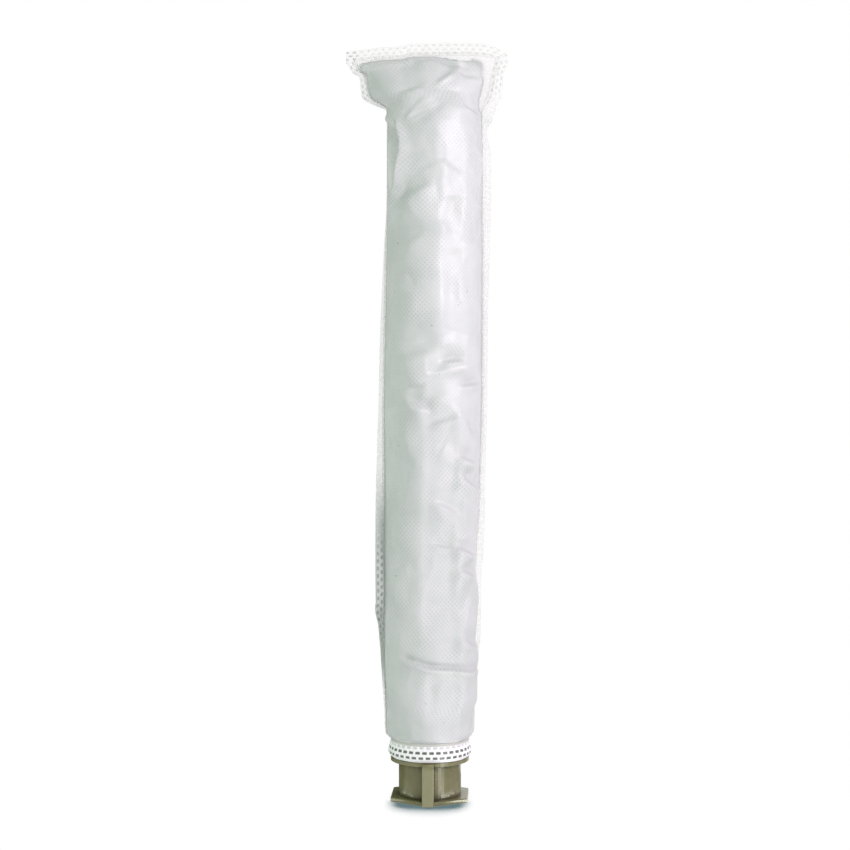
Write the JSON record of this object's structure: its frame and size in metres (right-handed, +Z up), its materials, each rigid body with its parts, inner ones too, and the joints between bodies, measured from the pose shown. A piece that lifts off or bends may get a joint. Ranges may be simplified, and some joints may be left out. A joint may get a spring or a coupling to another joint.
{
  "type": "vacuum micro filter",
  "caption": "Long slim nonwoven filter sleeve, flat welded top and side seams, gathered onto a ribbed hexagon adapter with a through bore.",
  "frame": {"origin": "on the adapter's axis at the underside of its hexagon plate, at the bottom centre of the part's box", "axes": "+Z up the sleeve; +X along the sleeve's flat top seam; -Y is the side that the picture shows"},
  "size_m": [0.0851, 0.0496, 0.3963],
  "materials": {
    "adapter_plastic": "moulded, softly glossy olive tan",
    "filter_fabric": "off-white point-bonded nonwoven, matte"
  },
  "bodies": {
    "root": {"adapter": "adapter_plastic", "front_panel": "filter_fabric", "back_panel": "filter_fabric"}
  },
  "joints": []
}
